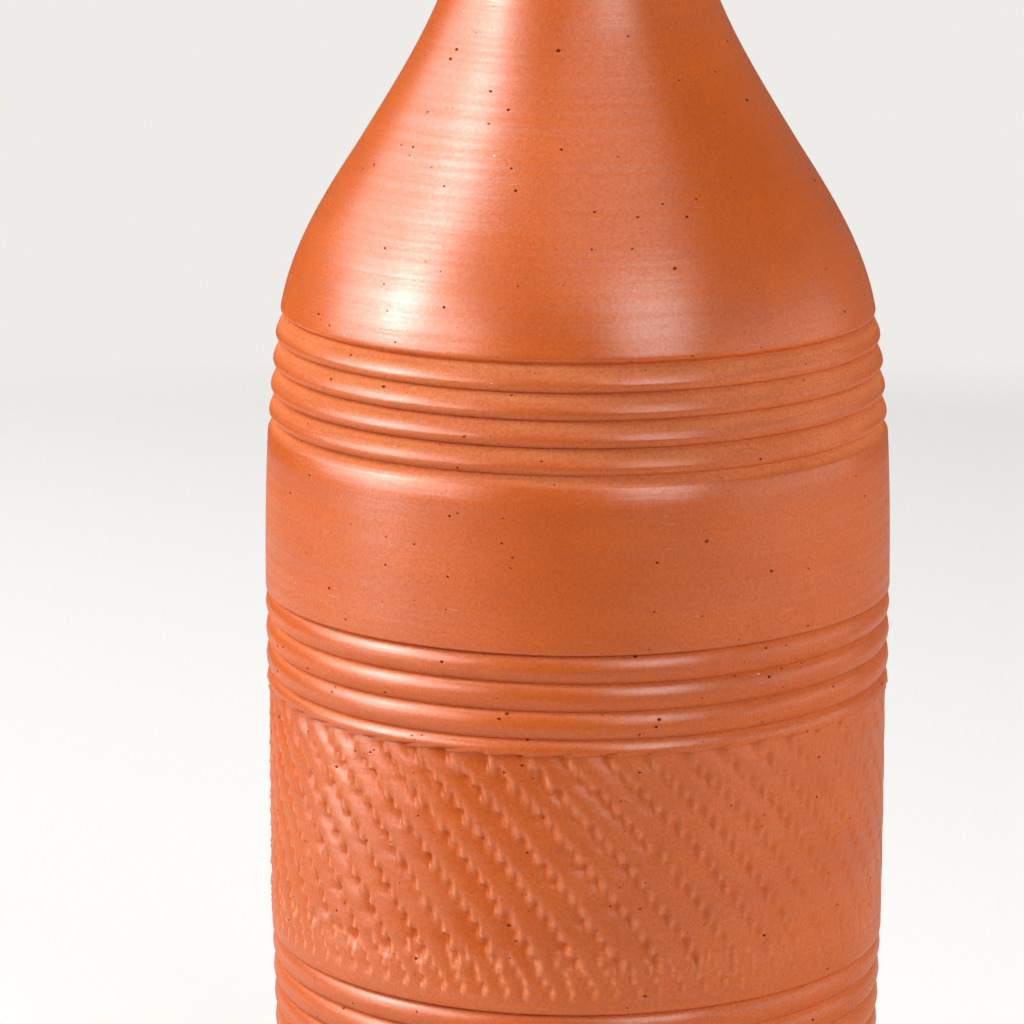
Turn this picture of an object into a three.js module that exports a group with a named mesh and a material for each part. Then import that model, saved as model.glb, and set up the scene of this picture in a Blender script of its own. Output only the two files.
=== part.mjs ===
// Clay water bottle: a wheel-thrown terracotta bottle with turned bead bands and a band of slanting
// chatter cuts, closed by a terracotta stopper that two silicone rings seal in the neck.
// Millimetres, +Z up, with the origin at the middle of the foot.

import * as THREE from 'three';
import { mergeVertices } from 'three/addons/utils/BufferGeometryUtils.js';

// Bottle heights, stacked from the foot to the rim
const LOWER_WALL_HEIGHT = 45.2;
const LOWER_BEAD_PITCH = 4.1;
const CHATTER_HEIGHT = 36.9;
const MIDDLE_BEAD_PITCH = 4.12;
const MIDDLE_WALL_HEIGHT = 24;
const UPPER_BAND_EDGE = 1.8;
const UPPER_BEAD_PITCH = 3.9;
const SHOULDER_HEIGHT = 25.1;
const CONE_HEIGHT = 44;
const NECK_HEIGHT = 11;
const LIP_HEIGHT = 7;

// Turned bead bands
const BEADS_PER_BAND = 4;
const LOWER_BEAD_DEPTH = 0.55;
const MIDDLE_BEAD_DEPTH = 0.55;
const UPPER_BEAD_DEPTH = 0.7;
const GROOVE_EDGE = 0.5;

// Chatter: cuts of a springing blade, which lean to the right on their way down
const CUTS_PER_TURN = 50;
const CUT_DEPTH = 0.7;
const CUT_END_WALL = 0.6;
const CUT_START = -2.8;
const CUT_TOP_LEAN = 1.07;
const CUT_BOTTOM_LEAN = 0.57;
const CUT_FADE = 5;
const CHATTER_STRIP = 3.2;
const CHATTER_BITE = 1.9;
const CHATTER_SETBACK = 0.4;

// Bottle radii
const FOOT_RADIUS = 44.4;
const BELLY_RADIUS = 47;
const UPPER_BAND_RADIUS = 44.7;
const SHOULDER_SETBACK = 0.25;
const CONE_RADIUS = 32.45;
const NECK_BORE_RADIUS = 11;
const LIP_OVERHANG = 2.6;

// Bottle wall and roundings
const BODY_WALL = 5.5;
const NECK_WALL = 5;
const FLOOR_THICKNESS = 7;
const FLOOR_FILLET = 14;
const HEEL_ROUNDING = 3.5;
const MOUTH_ROUNDING = 1;

// Curve of the shoulder: how far each end of its two stretches runs along its own direction
const SHOULDER_LEAN = -0.16;
const CONE_LEAN = -0.625;
const SHOULDER_REACH = 10.8;
const CONE_REACH_DOWN = 5;
const CONE_REACH_UP = 13.9;
const NECK_REACH = 18.6;

// Stopper
const SEAT_GAP = 0.3;
const FLANGE_SETBACK = 0.6;
const FLANGE_HEIGHT = 4.6;
const WAIST_RADIUS = 7.6;
const WAIST_HEIGHT = 4.4;
const KNOB_RADIUS = 11;
const KNOB_HEIGHT = 9;
const PLUG_CLEARANCE = 1.5;
const PLUG_TAIL = 8;
const PLUG_CHAMFER = 1;
const PLUG_WALL = 4.5;
const PLUG_HOLLOW_DEPTH = 15;

// Seal rings in the grooves of the plug
const RING_GAP = 0.3;
const RING_GROOVE_DEPTH = 1.2;
const FIRST_RING_DROP = 6;
const RING_SPACING = 7;

// Facets
const BOTTLE_SEGMENTS = 36;
const CLOSURE_SEGMENTS = 28;
const BEAD_STEPS = 3;
const WALL_STEPS = 4;
const CHATTER_STEPS = 5;
const CURVE_STEPS = 6;
const ARC_STEPS = 4;
const RING_SECTION_SIDES = 8;

// Heights worked out from the stack
const LOWER_BAND_Z = LOWER_WALL_HEIGHT;
const CHATTER_Z = LOWER_BAND_Z + BEADS_PER_BAND * LOWER_BEAD_PITCH;
const CUTS_Z = CHATTER_Z + CHATTER_STRIP;
const MIDDLE_BAND_Z = CHATTER_Z + CHATTER_HEIGHT;
const CUTS_TOP_Z = MIDDLE_BAND_Z + CHATTER_BITE;
const MIDDLE_WALL_Z = MIDDLE_BAND_Z + BEADS_PER_BAND * MIDDLE_BEAD_PITCH;
const UPPER_BAND_Z = MIDDLE_WALL_Z + MIDDLE_WALL_HEIGHT + UPPER_BAND_EDGE;
const UPPER_BAND_TOP_Z = UPPER_BAND_Z + BEADS_PER_BAND * UPPER_BEAD_PITCH;
const SHOULDER_Z = UPPER_BAND_TOP_Z + GROOVE_EDGE;
const CONE_Z = SHOULDER_Z + SHOULDER_HEIGHT;
const NECK_Z = CONE_Z + CONE_HEIGHT;
const LIP_Z = NECK_Z + NECK_HEIGHT;
const RIM_Z = LIP_Z + LIP_HEIGHT;
const BELLY_Z = (MIDDLE_BAND_Z + MIDDLE_WALL_Z) / 2;
const NECK_RADIUS = NECK_BORE_RADIUS + NECK_WALL;
const LIP_RADIUS = NECK_RADIUS + LIP_OVERHANG;

// Closure sizes worked out from the neck that it fits, with heights from the flange's underside
const FLANGE_RADIUS = LIP_RADIUS - FLANGE_SETBACK;
const KNOB_Z = FLANGE_HEIGHT + WAIST_HEIGHT;
const PLUG_RADIUS = NECK_BORE_RADIUS - PLUG_CLEARANCE;
const UPPER_RING_Z = -FIRST_RING_DROP;
const LOWER_RING_Z = UPPER_RING_Z - RING_SPACING;
const PLUG_Z = LOWER_RING_Z - PLUG_TAIL;
const RING_INNER_RADIUS = PLUG_RADIUS - RING_GROOVE_DEPTH + RING_GAP;
const RING_OUTER_RADIUS = NECK_BORE_RADIUS - RING_GAP;
const RING_SECTION_RADIUS = (RING_OUTER_RADIUS - RING_INNER_RADIUS) / 2;
const RING_MEAN_RADIUS = (RING_OUTER_RADIUS + RING_INNER_RADIUS) / 2;
const RING_GROOVE_HALF = RING_SECTION_RADIUS + RING_GAP;

const QUARTER_TURN = Math.PI / 2;
const FULL_TURN = 4 * QUARTER_TURN;

function point(radius, height) {
  return new THREE.Vector2(radius, height);
}

// An arc of the outline, as points from one angle to another.
function arc(radius, height, size, from, to, steps = ARC_STEPS) {
  return new THREE.EllipseCurve(radius, height, size, size, from, to, to < from).getPoints(steps);
}

// Radius of the thrown wall: widest at the middle band, drawn in to the foot and to the shoulder.
function wallRadius(z) {
  if (z < BELLY_Z) {
    const below = (BELLY_Z - z) / BELLY_Z;
    return BELLY_RADIUS - (BELLY_RADIUS - FOOT_RADIUS) * below ** 2;
  }
  const above = (z - BELLY_Z) / (UPPER_BAND_TOP_Z - BELLY_Z);
  return BELLY_RADIUS - (BELLY_RADIUS - UPPER_BAND_RADIUS) * above ** 3;
}

// Points up the plain wall between two heights, set in from its outer face.
function wall(from, to, inset = 0) {
  return Array.from({ length: WALL_STEPS + 1 }, (_, step) => {
    const z = THREE.MathUtils.lerp(from, to, step / WALL_STEPS);
    return point(wallRadius(z) - inset, z);
  });
}

// A turned band: rounded beads between V grooves, with a groove at both ends.
function beadBand(bottom, pitch, depth) {
  const steps = BEADS_PER_BAND * BEAD_STEPS;
  return Array.from({ length: steps + 1 }, (_, step) => {
    const acrossBead = (step % BEAD_STEPS) / BEAD_STEPS;
    const z = bottom + (step / BEAD_STEPS) * pitch;
    const inset = depth * (2 * acrossBead - 1) ** 2;
    return point(wallRadius(z) - inset, z);
  });
}

// The shoulder from its foot to the neck: it bulges, turns at the cone and sweeps up into the neck.
function shoulder(footRadius, coneRadius, neckRadius) {
  const bulge = new THREE.CubicBezierCurve(
    point(footRadius, SHOULDER_Z),
    point(footRadius + SHOULDER_LEAN * SHOULDER_REACH, SHOULDER_Z + SHOULDER_REACH),
    point(coneRadius - CONE_LEAN * CONE_REACH_DOWN, CONE_Z - CONE_REACH_DOWN),
    point(coneRadius, CONE_Z),
  );
  const sweep = new THREE.CubicBezierCurve(
    point(coneRadius, CONE_Z),
    point(coneRadius + CONE_LEAN * CONE_REACH_UP, CONE_Z + CONE_REACH_UP),
    point(neckRadius, NECK_Z - NECK_REACH),
    point(neckRadius, NECK_Z),
  );
  return [...bulge.getPoints(CURVE_STEPS), ...sweep.getPoints(CURVE_STEPS).slice(1)];
}

// The rolled lip, from its meeting with the neck over to the flat of the rim.
function lip() {
  const roll = LIP_HEIGHT / 2;
  const middle = LIP_RADIUS - roll;
  const meeting = Math.acos((NECK_RADIUS - middle) / roll);
  return arc(middle, LIP_Z + roll, roll, -meeting, QUARTER_TURN, 2 * ARC_STEPS);
}

// The outline from the middle of the foot up to the plain strip under the cuts.
function outlineBelowCuts() {
  const footFlat = wallRadius(HEEL_ROUNDING) - HEEL_ROUNDING;
  return [
    point(0, 0),
    ...arc(footFlat, HEEL_ROUNDING, HEEL_ROUNDING, -QUARTER_TURN, 0),
    ...wall(HEEL_ROUNDING, LOWER_BAND_Z - GROOVE_EDGE).slice(1),
    ...beadBand(LOWER_BAND_Z, LOWER_BEAD_PITCH, LOWER_BEAD_DEPTH),
    point(wallRadius(CHATTER_Z + GROOVE_EDGE), CHATTER_Z + GROOVE_EDGE),
  ];
}

// The outline from the bead that the cuts bite into, over the lip and down inside to the floor.
function outlineAboveCuts() {
  const bittenEdge = CUTS_TOP_Z + GROOVE_EDGE;
  const beads = beadBand(MIDDLE_BAND_Z, MIDDLE_BEAD_PITCH, MIDDLE_BEAD_DEPTH);
  const outer = [
    point(wallRadius(bittenEdge), bittenEdge),
    ...beads.filter((spot) => spot.y > bittenEdge),
    ...wall(MIDDLE_WALL_Z + GROOVE_EDGE, UPPER_BAND_Z - UPPER_BAND_EDGE),
    ...beadBand(UPPER_BAND_Z, UPPER_BEAD_PITCH, UPPER_BEAD_DEPTH),
    ...shoulder(UPPER_BAND_RADIUS - SHOULDER_SETBACK, CONE_RADIUS, NECK_RADIUS),
    ...lip(),
  ];
  const floorCorner = FLOOR_THICKNESS + FLOOR_FILLET;
  const floorRadius = wallRadius(floorCorner) - BODY_WALL - FLOOR_FILLET;
  const mouth = NECK_BORE_RADIUS + MOUTH_ROUNDING;
  const inner = [
    ...arc(mouth, RIM_Z - MOUTH_ROUNDING, MOUTH_ROUNDING, QUARTER_TURN, 2 * QUARTER_TURN),
    ...shoulder(UPPER_BAND_RADIUS - BODY_WALL, CONE_RADIUS - BODY_WALL, NECK_BORE_RADIUS).reverse(),
    ...wall(floorCorner, SHOULDER_Z, BODY_WALL).slice(1, -1).reverse(),
    ...arc(floorRadius, floorCorner, FLOOR_FILLET, 0, -QUARTER_TURN),
    point(0, FLOOR_THICKNESS),
  ];
  return [...outer, ...inner];
}

// How far to the right of the front the first cut ends, at a height.
function cutPlace(z) {
  const fall = CUTS_TOP_Z - z;
  const change = (CUT_BOTTOM_LEAN - CUT_TOP_LEAN) / (2 * (CUTS_TOP_Z - CUTS_Z));
  return CUT_START + fall * (CUT_TOP_LEAN + change * fall);
}

// A ring of corners at one height, each with its share of the way round from where the ring starts.
function ring(z, start, spots) {
  return spots.map(([share, radius]) => {
    const turn = start + share * FULL_TURN;
    return { share, corner: new THREE.Vector3(radius * Math.sin(turn), -radius * Math.cos(turn), z) };
  });
}

// An even ring through a point of the outline, or the one corner of a point on the axis.
function roundRing(spot, start) {
  const count = spot.x > 0 ? BOTTLE_SEGMENTS : 1;
  return ring(spot.y, start, Array.from({ length: count }, (_, column) => [column / count, spot.x]));
}

// A ring through the cuts: each one sinks to its deepest corner and ends in a steep wall.
function cutRing(z) {
  const crest = wallRadius(z) - (CHATTER_SETBACK * (z - CUTS_Z)) / (CUTS_TOP_Z - CUTS_Z);
  const depth = CUT_DEPTH * Math.min(1, (z - CUTS_Z) / CUT_FADE);
  const endWall = CUT_END_WALL / (FULL_TURN * BELLY_RADIUS);
  const spots = Array.from({ length: CUTS_PER_TURN }, (_, cut) => [
    [cut / CUTS_PER_TURN, crest - depth],
    [cut / CUTS_PER_TURN + endWall, crest],
  ]);
  return ring(z, cutPlace(z) / BELLY_RADIUS, spots.flat());
}

// The rings of the chatter, from the faded bottom of the cuts up to the bead that they bite into.
function cutRings() {
  const heights = Array.from({ length: CHATTER_STEPS + 1 }, (_, step) =>
    THREE.MathUtils.lerp(CUTS_Z + CUT_FADE, CUTS_TOP_Z, step / CHATTER_STEPS),
  );
  return [CUTS_Z, ...heights].map(cutRing);
}

// Corners of the triangles between two rings: the ring whose next corner comes first moves on.
function stitch(lower, upper) {
  const corners = [];
  const corner = (side, index) => side[index % side.length].corner;
  const share = (side, index) => side[index % side.length].share + Math.floor(index / side.length);
  const lowerEnd = lower.length > 1 ? lower.length : 0;
  const upperEnd = upper.length > 1 ? upper.length : 0;
  let low = 0;
  let high = 0;
  while (low < lowerEnd || high < upperEnd) {
    const lowerFirst = share(lower, low + 1) < share(upper, high + 1);
    if (high === upperEnd || (low < lowerEnd && lowerFirst)) {
      corners.push(corner(lower, low), corner(lower, low + 1), corner(upper, high));
      low += 1;
    } else {
      corners.push(corner(lower, low), corner(upper, high + 1), corner(upper, high));
      high += 1;
    }
  }
  return corners;
}

// The bottle's skin, ring by ring from the middle of the foot round to the middle of the floor.
function bottleGeometry() {
  const below = cutPlace(CUTS_Z) / BELLY_RADIUS;
  const above = cutPlace(CUTS_TOP_Z) / BELLY_RADIUS;
  const rings = [
    ...outlineBelowCuts().map((spot) => roundRing(spot, below)),
    ...cutRings(),
    ...outlineAboveCuts().map((spot) => roundRing(spot, above)),
  ];
  const corners = rings.slice(1).flatMap((upper, index) => stitch(rings[index], upper));
  const geometry = mergeVertices(new THREE.BufferGeometry().setFromPoints(corners));
  geometry.computeVertexNormals();
  return geometry;
}

// The plug's grooved side, from its chamfered end up to the flange.
function plugSide() {
  const bottom = PLUG_RADIUS - RING_GROOVE_DEPTH;
  const groove = (z) => [
    point(PLUG_RADIUS, z - RING_GROOVE_HALF),
    point(bottom, z - RING_GROOVE_HALF),
    point(bottom, z + RING_GROOVE_HALF),
    point(PLUG_RADIUS, z + RING_GROOVE_HALF),
  ];
  return [
    point(PLUG_RADIUS - PLUG_CHAMFER, PLUG_Z),
    point(PLUG_RADIUS, PLUG_Z + PLUG_CHAMFER),
    ...groove(LOWER_RING_Z),
    ...groove(UPPER_RING_Z),
    point(PLUG_RADIUS, 0),
  ];
}

// The flange's half-round edge, the drawn-in waist and the domed knob.
function grip() {
  const edge = FLANGE_HEIGHT / 2;
  const waist = new THREE.QuadraticBezierCurve(
    point(FLANGE_RADIUS - edge, FLANGE_HEIGHT),
    point(WAIST_RADIUS, FLANGE_HEIGHT),
    point(WAIST_RADIUS, KNOB_Z),
  );
  const knobSide = new THREE.QuadraticBezierCurve(
    point(WAIST_RADIUS, KNOB_Z),
    point(KNOB_RADIUS, KNOB_Z),
    point(KNOB_RADIUS, KNOB_Z + KNOB_HEIGHT / 2),
  );
  const dome = new THREE.EllipseCurve(
    0, KNOB_Z + KNOB_HEIGHT / 2, KNOB_RADIUS, KNOB_HEIGHT / 2, 0, QUARTER_TURN, false,
  );
  return [
    ...arc(FLANGE_RADIUS - edge, edge, edge, -QUARTER_TURN, QUARTER_TURN, 2 * ARC_STEPS),
    ...waist.getPoints(CURVE_STEPS).slice(1),
    ...knobSide.getPoints(ARC_STEPS).slice(1),
    ...dome.getPoints(CURVE_STEPS).slice(1, -1),
    point(0, KNOB_Z + KNOB_HEIGHT),
  ];
}

function stopperOutline() {
  const hollowRadius = PLUG_RADIUS - PLUG_WALL;
  return [
    point(0, PLUG_Z + PLUG_HOLLOW_DEPTH),
    point(hollowRadius, PLUG_Z + PLUG_HOLLOW_DEPTH),
    point(hollowRadius, PLUG_Z),
    ...plugSide(),
    ...grip(),
  ];
}

function ringOutline() {
  return arc(RING_MEAN_RADIUS, 0, RING_SECTION_RADIUS, 0, FULL_TURN, RING_SECTION_SIDES);
}

function named(name, geometry, finish, z = 0) {
  const mesh = new THREE.Mesh(geometry, new THREE.MeshStandardMaterial(finish));
  mesh.name = name;
  mesh.position.z = z;
  return mesh;
}

// An outline of radius and height, turned about the upright axis.
function turned(outline) {
  return new THREE.LatheGeometry(outline, CLOSURE_SEGMENTS).rotateX(QUARTER_TURN);
}

const BURNISHED_CLAY = { color: 0xc86234, roughness: 0.45, metalness: 0 };
const SILICONE = { color: 0xded9cf, roughness: 0.6, metalness: 0 };

const closure = new THREE.Group();
closure.position.z = RIM_Z + SEAT_GAP;
closure.add(
  named('stopper', turned(stopperOutline()), BURNISHED_CLAY),
  named('upper_seal_ring', turned(ringOutline()), SILICONE, UPPER_RING_Z),
  named('lower_seal_ring', turned(ringOutline()), SILICONE, LOWER_RING_Z),
);

const bottle = new THREE.Group();
bottle.add(named('bottle_body', bottleGeometry(), BURNISHED_CLAY), closure);

export default bottle;
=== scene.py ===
"""Clay water bottle, dressed for the studio.

A wheel-thrown terracotta bottle with turned bead bands and a chattered band, closed by a clay
stopper that two silicone rings seal in the neck. The sizes in the classes are millimetres, as a
potter would write them. The meshes are made in metres, +Z up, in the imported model's frame, and the
photograph looks along +Y.
"""

import logging
import math
from abc import ABC, abstractmethod
from dataclasses import dataclass
from enum import Enum
from typing import NamedTuple

import bpy
import numpy as np
from bpy.types import Material, Node, NodeSocket, NodeTree, Object
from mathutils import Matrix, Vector

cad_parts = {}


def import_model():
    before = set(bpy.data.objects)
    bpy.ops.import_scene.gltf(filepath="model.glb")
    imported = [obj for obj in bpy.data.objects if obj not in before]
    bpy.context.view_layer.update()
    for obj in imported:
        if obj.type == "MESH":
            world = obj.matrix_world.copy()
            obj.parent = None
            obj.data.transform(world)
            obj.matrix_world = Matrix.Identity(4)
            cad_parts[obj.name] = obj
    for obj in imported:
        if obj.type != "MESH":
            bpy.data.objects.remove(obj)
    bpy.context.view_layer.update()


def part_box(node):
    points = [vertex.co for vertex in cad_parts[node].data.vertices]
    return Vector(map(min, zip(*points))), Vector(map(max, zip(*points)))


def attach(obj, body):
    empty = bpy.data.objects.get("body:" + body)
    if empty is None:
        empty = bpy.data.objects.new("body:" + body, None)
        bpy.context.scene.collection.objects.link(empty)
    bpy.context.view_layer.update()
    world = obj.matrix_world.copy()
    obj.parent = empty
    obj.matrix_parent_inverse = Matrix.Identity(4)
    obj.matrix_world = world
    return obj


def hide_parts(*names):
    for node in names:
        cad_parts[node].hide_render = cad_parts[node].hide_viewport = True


LOG = logging.getLogger("clay_bottle")

MM = 0.001
FULL_TURN = 2 * math.pi
HALF_TURN = math.pi
QUARTER_TURN = math.pi / 2

SEAT_GAP = 0.3
WELD = MM / 500
NOISE_RANGE = (0.25, 0.75)
WINDOW_WHITE = (1.0, 0.98, 0.96)
CARD_WHITE = (1.0, 1.0, 1.0)

Colour = tuple[float, float, float, float]
Socket = NodeSocket
Inputs = dict[str | int, Socket | float | tuple[float, ...]]


class Slot(Enum):
    """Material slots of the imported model."""

    CLAY = "burnished_clay"
    SEAL = "seal_silicone"


class Body(Enum):
    """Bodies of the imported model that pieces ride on."""

    BOTTLE = "bottle"
    SEALS = "seals"
    STOPPER = "stopper"


class Point(NamedTuple):
    """A point of a turned outline, in millimetres."""

    radius: float
    height: float


def srgb(red: int, green: int, blue: int) -> Colour:
    """Linear colour of a screen colour.

    Args:
        red: Red from 0 to 255.
        green: Green from 0 to 255.
        blue: Blue from 0 to 255.

    Returns:
        The linear red, green and blue, with full alpha.
    """

    def linear(level: int) -> float:
        """One channel made linear."""
        share = level / 255
        return share / 12.92 if share <= 0.04045 else ((share + 0.055) / 1.055) ** 2.4

    return linear(red), linear(green), linear(blue), 1.0


def spaced(start: float, end: float, spacing: float) -> list[float]:
    """Evenly spaced numbers from start to end, both included, no further apart than the spacing."""
    steps = max(1, math.ceil(abs(end - start) / spacing))
    return [start + (end - start) * step / steps for step in range(steps + 1)]


def arc(centre: Point, size: float, start: float, end: float, steps: int) -> list[Point]:
    """Points along an arc of the outline.

    Args:
        centre: Middle of the arc.
        size: Radius of the arc.
        start: Angle of the first point, from the outward direction towards up.
        end: Angle of the last point.
        steps: Number of straight steps.

    Returns:
        The points, with both ends.
    """
    angles = [start + (end - start) * step / steps for step in range(steps + 1)]
    return [
        Point(centre.radius + size * math.cos(angle), centre.height + size * math.sin(angle))
        for angle in angles
    ]


def curve(first: Point, leave: Point, arrive: Point, last: Point, steps: int) -> list[Point]:
    """Points along a cubic curve.

    Args:
        first: Where the curve starts.
        leave: The point that it starts towards.
        arrive: The point that it comes from at its end.
        last: Where it ends.
        steps: Number of straight steps.

    Returns:
        The points, with both ends.
    """
    points = []
    for step in range(steps + 1):
        t = step / steps
        weights = ((1 - t) ** 3, 3 * t * (1 - t) ** 2, 3 * t**2 * (1 - t), t**3)
        corners = (first, leave, arrive, last)
        points.append(
            Point(
                sum(weight * corner.radius for weight, corner in zip(weights, corners)),
                sum(weight * corner.height for weight, corner in zip(weights, corners)),
            )
        )
    return points


def softened(outline: list[Point], rounding: float) -> list[Point]:
    """Rounds every corner of an outline between its two ends.

    Args:
        outline: Corners of the outline, in order.
        rounding: How far from a corner the rounding starts, where there is room.

    Returns:
        The outline with three points in place of each corner.
    """
    points = [outline[0]]
    for before, corner, after in zip(outline, outline[1:], outline[2:]):
        here = Vector(corner)
        back = Vector(before) - here
        ahead = Vector(after) - here
        start = here + back.normalized() * min(rounding, back.length / 2)
        end = here + ahead.normalized() * min(rounding, ahead.length / 2)
        middle = start / 4 + here / 2 + end / 4
        points += [Point(*start), Point(*middle), Point(*end)]
    return [*points, outline[-1]]


def read_points(piece: Object) -> np.ndarray:
    """Reads the vertex places of a piece.

    Args:
        piece: The piece to read.

    Returns:
        The places in millimetres, one row each.
    """
    places = np.empty(3 * len(piece.data.vertices), dtype=np.float32)
    piece.data.vertices.foreach_get("co", places)
    return places.reshape(-1, 3).astype(float) / MM


def write_points(piece: Object, points: np.ndarray) -> None:
    """Moves the vertices of a piece to places given in millimetres."""
    piece.data.vertices.foreach_set("co", (points * MM).astype(np.float32).ravel())
    piece.data.update()


def write_values(piece: Object, name: str, values: np.ndarray) -> None:
    """Stores a named value from 0 to 1 at each vertex of a piece, for its finish to read."""
    attribute = piece.data.attributes.new(name, "FLOAT", "POINT")
    attribute.data.foreach_set("value", np.clip(values, 0, 1).astype(np.float32))


class TurnedPiece(ABC):
    """A piece turned about the upright axis from one outline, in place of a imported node."""

    name: str
    node: str
    body: Body
    slot: Slot
    columns: int
    crease: float | None = None

    @abstractmethod
    def outline(self) -> list[Point]:
        """Points of the outline in order, from the axis round to the axis or closed on itself."""

    def work(self, piece: Object) -> None:
        """Works the turned piece further, where it needs it."""

    def turn(self) -> Object:
        """Draws the outline point by point and spins it into a closed skin.

        Returns:
            The new object, at the origin, selected and active.
        """
        outline = self.outline()
        bpy.ops.object.select_all(action="DESELECT")
        bpy.ops.mesh.primitive_plane_add(size=MM)
        piece = bpy.context.object
        piece.name = self.name
        bpy.ops.object.mode_set(mode="EDIT")
        bpy.ops.mesh.select_all(action="SELECT")
        bpy.ops.mesh.merge(type="CENTER")
        bpy.ops.transform.translate(value=(outline[0].radius * MM, 0, outline[0].height * MM))
        for here, there in zip(outline, outline[1:]):
            step = ((there.radius - here.radius) * MM, 0, (there.height - here.height) * MM)
            bpy.ops.mesh.extrude_vertices_move(TRANSFORM_OT_translate={"value": step})
        bpy.ops.mesh.select_all(action="SELECT")
        bpy.ops.mesh.spin(steps=self.columns, angle=FULL_TURN, center=(0, 0, 0), axis=(0, 0, 1))
        bpy.ops.mesh.select_all(action="SELECT")
        bpy.ops.mesh.remove_doubles(threshold=WELD)
        bpy.ops.mesh.normals_make_consistent(inside=False)
        bpy.ops.object.mode_set(mode="OBJECT")
        bpy.ops.object.shade_smooth()
        return piece

    def build(self, finish: Material) -> Object:
        """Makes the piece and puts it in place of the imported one.

        Args:
            finish: What the piece is made of.

        Returns:
            The finished piece.
        """
        piece = self.turn()
        self.work(piece)
        piece.data.materials.append(finish)
        if self.crease is not None:
            bpy.ops.object.shade_smooth_by_angle(angle=math.radians(self.crease))
        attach(piece, self.body.value)
        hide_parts(self.node)
        return piece


@dataclass(frozen=True)
class Bead:
    """Cross-section of one turned bead, read downwards from the groove above it."""

    depth: float
    crest: float
    upper_power: float
    lower_power: float
    upper_polish: float
    lower_polish: float
    rubbed_share: float
    groove: float = 0.35
    groove_share: float = 0.05

    def inset(self, share: float) -> float:
        """How far the surface lies in from the wall.

        Args:
            share: Share of the way down the bead.

        Returns:
            The distance in millimetres, with the groove's own depth.
        """
        groove = self.groove * math.exp(-((min(share, 1 - share) / self.groove_share) ** 2))
        if share < self.crest:
            return groove + self.depth * (1 - share / self.crest) ** self.upper_power
        return groove + self.depth * ((share - self.crest) / (1 - self.crest)) ** self.lower_power

    def polish(self, share: float) -> float:
        """How far the surface is rubbed smooth.

        Args:
            share: Share of the way down the bead.

        Returns:
            1 on the crest, falling to the groove's polish, which may be below 0.
        """
        if share < self.crest:
            away, groove = 1 - share / self.crest, self.upper_polish
        else:
            away, groove = (share - self.crest) / (1 - self.crest), self.lower_polish
        return 1 + (groove - 1) * max(0, away - self.rubbed_share) / (1 - self.rubbed_share)


class BeadShape(Enum):
    """The two shapes of bead on the bottle."""

    ROLLED = Bead(
        depth=0.85,
        crest=0.68,
        upper_power=1.15,
        lower_power=2.0,
        upper_polish=-1.0,
        lower_polish=-0.2,
        rubbed_share=0.06,
    )
    COVED = Bead(
        depth=0.7,
        crest=0.54,
        upper_power=2.0,
        lower_power=2.0,
        upper_polish=0.1,
        lower_polish=0.1,
        rubbed_share=0.6,
    )


@dataclass(frozen=True)
class BeadBand:
    """A band of beads between sharp grooves, with an eased edge above and below it."""

    top: float
    pitch: float
    shape: BeadShape
    upper_edge: float
    lower_edge: float
    count: int = 4
    rows_per_bead: int = 12

    @property
    def bottom(self) -> float:
        """Height of the lowest groove."""
        return self.top - self.count * self.pitch

    @property
    def start(self) -> float:
        """Height at which the lower edge meets the plain wall."""
        return self.bottom - self.lower_edge

    @property
    def end(self) -> float:
        """Height at which the upper edge meets the plain wall."""
        return self.top + self.upper_edge

    def inset(self, height: float) -> float:
        """How far the surface lies in from the plain wall.

        Args:
            height: Height on the bottle.

        Returns:
            The distance in millimetres, 0 outside the band and its edges.
        """
        bead = self.shape.value
        if self.bottom <= height <= self.top:
            return bead.inset((self.top - height) / self.pitch % 1)
        full = bead.inset(0)
        if self.top < height < self.end:
            return full * (1 - (height - self.top) / self.upper_edge) ** 3
        if self.start < height < self.bottom:
            return full * (1 - (self.bottom - height) / self.lower_edge) ** bead.upper_power
        return 0.0

    def polish(self, height: float) -> float:
        """How far the surface is rubbed smooth.

        Args:
            height: Height on the bottle.

        Returns:
            The polish of the bead there, 1 outside the band.
        """
        bead = self.shape.value
        if self.bottom <= height <= self.top:
            return bead.polish((self.top - height) / self.pitch % 1)
        if self.start < height < self.bottom:
            return bead.polish((self.bottom - height) / self.lower_edge * bead.crest)
        return 1.0

    def rows(self) -> list[float]:
        """Heights of the outline's points in the band.

        Returns:
            The heights from the bottom up, closest together at the grooves.
        """
        rows = spaced(self.start, self.bottom, self.lower_edge / 4)[:-1]
        for bead in range(self.count):
            for row in range(self.rows_per_bead):
                share = (1 - math.cos(HALF_TURN * row / self.rows_per_bead)) / 2
                rows.append(self.bottom + (bead + share) * self.pitch)
        return rows + spaced(self.top, self.end, self.upper_edge / 4)


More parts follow.
